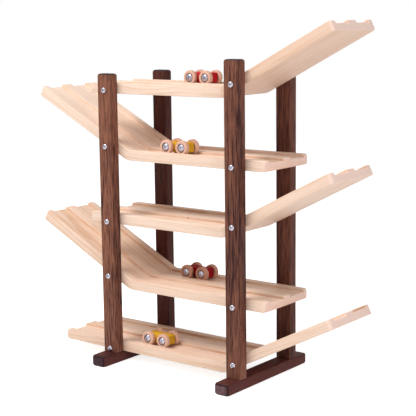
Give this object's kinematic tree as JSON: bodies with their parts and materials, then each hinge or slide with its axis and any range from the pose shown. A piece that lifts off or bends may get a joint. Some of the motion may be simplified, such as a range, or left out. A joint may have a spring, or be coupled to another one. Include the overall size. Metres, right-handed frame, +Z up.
{
  "type": "click clack track toy",
  "caption": "Wooden click clack toy: small cars roll along a zigzag of laned tracks held between posts, and drop from each track to the next.",
  "frame": {"origin": "on the ground, midway between the two feet", "axes": "+X along the tracks, to the right as seen from the front; +Y to the back; +Z up"},
  "size_m": [0.617, 0.229, 0.5924],
  "materials": {
    "walnut": "dark walnut, oiled, satin",
    "maple": "pale maple, sanded, thin satin lacquer",
    "beech": "turned beech, satin",
    "red_wood": "red gloss stain",
    "yellow_wood": "yellow gloss stain",
    "chrome": "bright plated",
    "steel": "plain zinc-plated"
  },
  "bodies": {
    "frame": {"left_foot": "walnut", "left_foot_screws": "steel", "left_front_post": "walnut", "left_front_screws": "chrome", "left_back_post": "walnut", "left_back_screws": "chrome", "right_foot": "walnut", "right_foot_screws": "steel", "right_front_post": "walnut", "right_front_screws": "chrome", "right_back_post": "walnut", "right_back_screws": "chrome", "track_1_run": "maple", "track_1_ramp": "maple", "track_2_run": "maple", "track_2_ramp": "maple", "track_3_run": "maple", "track_3_ramp": "maple", "track_4_run": "maple", "track_4_ramp": "maple", "track_5_run": "maple", "track_5_ramp": "maple"},
    "upper_red_car": {"upper_red_car_body": "red_wood", "upper_red_car_axle_screws": "chrome"},
    "upper_red_car_left_front_wheel": {"upper_red_car_left_front_wheel": "beech"},
    "upper_red_car_left_back_wheel": {"upper_red_car_left_back_wheel": "beech"},
    "upper_red_car_right_front_wheel": {"upper_red_car_right_front_wheel": "beech"},
    "upper_red_car_right_back_wheel": {"upper_red_car_right_back_wheel": "beech"},
    "upper_yellow_car": {"upper_yellow_car_body": "yellow_wood", "upper_yellow_car_axle_screws": "chrome"},
    "upper_yellow_car_left_front_wheel": {"upper_yellow_car_left_front_wheel": "beech"},
    "upper_yellow_car_left_back_wheel": {"upper_yellow_car_left_back_wheel": "beech"},
    "upper_yellow_car_right_front_wheel": {"upper_yellow_car_right_front_wheel": "beech"},
    "upper_yellow_car_right_back_wheel": {"upper_yellow_car_right_back_wheel": "beech"},
    "lower_red_car": {"lower_red_car_body": "red_wood", "lower_red_car_axle_screws": "chrome"},
    "lower_red_car_left_front_wheel": {"lower_red_car_left_front_wheel": "beech"},
    "lower_red_car_left_back_wheel": {"lower_red_car_left_back_wheel": "beech"},
    "lower_red_car_right_front_wheel": {"lower_red_car_right_front_wheel": "beech"},
    "lower_red_car_right_back_wheel": {"lower_red_car_right_back_wheel": "beech"},
    "lower_yellow_car": {"lower_yellow_car_body": "yellow_wood", "lower_yellow_car_axle_screws": "chrome"},
    "lower_yellow_car_left_front_wheel": {"lower_yellow_car_left_front_wheel": "beech"},
    "lower_yellow_car_left_back_wheel": {"lower_yellow_car_left_back_wheel": "beech"},
    "lower_yellow_car_right_front_wheel": {"lower_yellow_car_right_front_wheel": "beech"},
    "lower_yellow_car_right_back_wheel": {"lower_yellow_car_right_back_wheel": "beech"}
  },
  "joints": [
    {"name": "upper_red_car_roll", "type": "slide", "parent": "frame", "child": "upper_red_car", "axis": [1, 0, 0], "range_m": [-0.1593, 0.0857]},
    {"name": "upper_red_car_left_front_wheel_spin", "type": "hinge", "parent": "upper_red_car", "child": "upper_red_car_left_front_wheel", "pos_m": [-0.02323, 0.02975, 0.4968], "axis": [0, 1, 0], "continuous": true},
    {"name": "upper_red_car_left_back_wheel_spin", "type": "hinge", "parent": "upper_red_car", "child": "upper_red_car_left_back_wheel", "pos_m": [-0.02323, 0.02975, 0.4968], "axis": [0, 1, 0], "continuous": true},
    {"name": "upper_red_car_right_front_wheel_spin", "type": "hinge", "parent": "upper_red_car", "child": "upper_red_car_right_front_wheel", "pos_m": [0.00977, 0.02975, 0.4968], "axis": [0, 1, 0], "continuous": true},
    {"name": "upper_red_car_right_back_wheel_spin", "type": "hinge", "parent": "upper_red_car", "child": "upper_red_car_right_back_wheel", "pos_m": [0.00977, 0.02975, 0.4968], "axis": [0, 1, 0], "continuous": true},
    {"name": "upper_yellow_car_roll", "type": "slide", "parent": "frame", "child": "upper_yellow_car", "axis": [1, 0, 0], "range_m": [-0.0671, 0.1779]},
    {"name": "upper_yellow_car_left_front_wheel_spin", "type": "hinge", "parent": "upper_yellow_car", "child": "upper_yellow_car_left_front_wheel", "pos_m": [-0.02843, -0.02975, 0.3838], "axis": [0, 1, 0], "continuous": true},
    {"name": "upper_yellow_car_left_back_wheel_spin", "type": "hinge", "parent": "upper_yellow_car", "child": "upper_yellow_car_left_back_wheel", "pos_m": [-0.02843, -0.02975, 0.3838], "axis": [0, 1, 0], "continuous": true},
    {"name": "upper_yellow_car_right_front_wheel_spin", "type": "hinge", "parent": "upper_yellow_car", "child": "upper_yellow_car_right_front_wheel", "pos_m": [0.00457, -0.02975, 0.3838], "axis": [0, 1, 0], "continuous": true},
    {"name": "upper_yellow_car_right_back_wheel_spin", "type": "hinge", "parent": "upper_yellow_car", "child": "upper_yellow_car_right_back_wheel", "pos_m": [0.00457, -0.02975, 0.3838], "axis": [0, 1, 0], "continuous": true},
    {"name": "lower_red_car_roll", "type": "slide", "parent": "frame", "child": "lower_red_car", "axis": [1, 0, 0], "range_m": [-0.0591, 0.1859]},
    {"name": "lower_red_car_left_front_wheel_spin", "type": "hinge", "parent": "lower_red_car", "child": "lower_red_car_left_front_wheel", "pos_m": [-0.03639, 0.02975, 0.1578], "axis": [0, 1, 0], "continuous": true},
    {"name": "lower_red_car_left_back_wheel_spin", "type": "hinge", "parent": "lower_red_car", "child": "lower_red_car_left_back_wheel", "pos_m": [-0.03639, 0.02975, 0.1578], "axis": [0, 1, 0], "continuous": true},
    {"name": "lower_red_car_right_front_wheel_spin", "type": "hinge", "parent": "lower_red_car", "child": "lower_red_car_right_front_wheel", "pos_m": [-0.00339, 0.02975, 0.1578], "axis": [0, 1, 0], "continuous": true},
    {"name": "lower_red_car_right_back_wheel_spin", "type": "hinge", "parent": "lower_red_car", "child": "lower_red_car_right_back_wheel", "pos_m": [-0.00339, 0.02975, 0.1578], "axis": [0, 1, 0], "continuous": true},
    {"name": "lower_yellow_car_roll", "type": "slide", "parent": "frame", "child": "lower_yellow_car", "axis": [1, 0, 0], "range_m": [-0.1809, 0.1396]},
    {"name": "lower_yellow_car_left_front_wheel_spin", "type": "hinge", "parent": "lower_yellow_car", "child": "lower_yellow_car_left_front_wheel", "pos_m": [-0.07709, -0.02975, 0.0448], "axis": [0, 1, 0], "continuous": true},
    {"name": "lower_yellow_car_left_back_wheel_spin", "type": "hinge", "parent": "lower_yellow_car", "child": "lower_yellow_car_left_back_wheel", "pos_m": [-0.07709, -0.02975, 0.0448], "axis": [0, 1, 0], "continuous": true},
    {"name": "lower_yellow_car_right_front_wheel_spin", "type": "hinge", "parent": "lower_yellow_car", "child": "lower_yellow_car_right_front_wheel", "pos_m": [-0.04409, -0.02975, 0.0448], "axis": [0, 1, 0], "continuous": true},
    {"name": "lower_yellow_car_right_back_wheel_spin", "type": "hinge", "parent": "lower_yellow_car", "child": "lower_yellow_car_right_back_wheel", "pos_m": [-0.04409, -0.02975, 0.0448], "axis": [0, 1, 0], "continuous": true}
  ],
  "couplings": [
    {"joint": "upper_red_car_left_front_wheel_spin", "follows": "upper_red_car_roll", "rad_per_m": 80},
    {"joint": "upper_red_car_left_back_wheel_spin", "follows": "upper_red_car_roll", "rad_per_m": 80},
    {"joint": "upper_red_car_right_front_wheel_spin", "follows": "upper_red_car_roll", "rad_per_m": 80},
    {"joint": "upper_red_car_right_back_wheel_spin", "follows": "upper_red_car_roll", "rad_per_m": 80},
    {"joint": "upper_yellow_car_left_front_wheel_spin", "follows": "upper_yellow_car_roll", "rad_per_m": 80},
    {"joint": "upper_yellow_car_left_back_wheel_spin", "follows": "upper_yellow_car_roll", "rad_per_m": 80},
    {"joint": "upper_yellow_car_right_front_wheel_spin", "follows": "upper_yellow_car_roll", "rad_per_m": 80},
    {"joint": "upper_yellow_car_right_back_wheel_spin", "follows": "upper_yellow_car_roll", "rad_per_m": 80},
    {"joint": "lower_red_car_left_front_wheel_spin", "follows": "lower_red_car_roll", "rad_per_m": 80},
    {"joint": "lower_red_car_left_back_wheel_spin", "follows": "lower_red_car_roll", "rad_per_m": 80},
    {"joint": "lower_red_car_right_front_wheel_spin", "follows": "lower_red_car_roll", "rad_per_m": 80},
    {"joint": "lower_red_car_right_back_wheel_spin", "follows": "lower_red_car_roll", "rad_per_m": 80},
    {"joint": "lower_yellow_car_left_front_wheel_spin", "follows": "lower_yellow_car_roll", "rad_per_m": 80},
    {"joint": "lower_yellow_car_left_back_wheel_spin", "follows": "lower_yellow_car_roll", "rad_per_m": 80},
    {"joint": "lower_yellow_car_right_front_wheel_spin", "follows": "lower_yellow_car_roll", "rad_per_m": 80},
    {"joint": "lower_yellow_car_right_back_wheel_spin", "follows": "lower_yellow_car_roll", "rad_per_m": 80}
  ]
}
